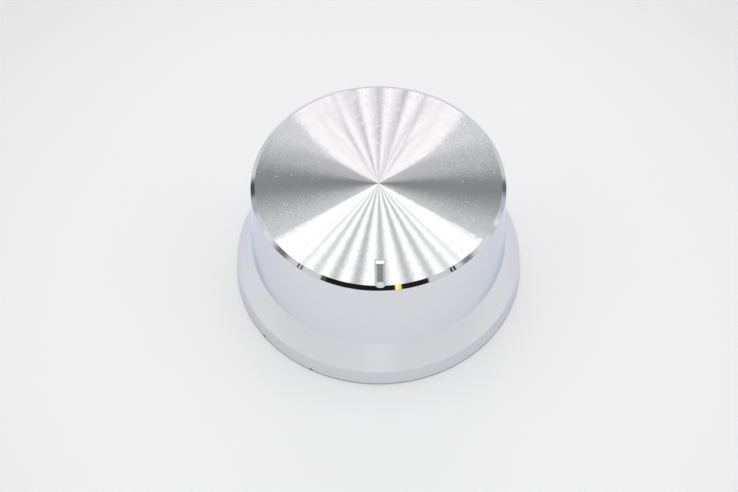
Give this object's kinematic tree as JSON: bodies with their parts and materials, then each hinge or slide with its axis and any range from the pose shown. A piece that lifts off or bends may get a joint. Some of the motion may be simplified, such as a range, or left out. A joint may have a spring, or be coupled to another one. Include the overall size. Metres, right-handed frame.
{
  "type": "control knob",
  "caption": "Control knob with a flared skirt, a spun metal face, a bevelled rim and a milled pointer slot, pushed on a D shaft by a split moulded core.",
  "frame": {"origin": "centre of the skirt's rim, in the plane that the knob rests on", "axes": "+Z along the shaft axis, out of the face; -Y towards the pointer slot; +X to the right of it"},
  "size_m": [0.0443, 0.0442, 0.021],
  "materials": {
    "bright_metal": "polished wall and skirt, concentric spun face, mirror cut on the bevel",
    "black_moulding": "fine moulded grain",
    "spring_steel": "rolled strip, bright with a faint grain"
  },
  "bodies": {
    "root": {"knob_cap": "bright_metal", "hub_core": "black_moulding", "spring_ring": "spring_steel"}
  },
  "joints": []
}
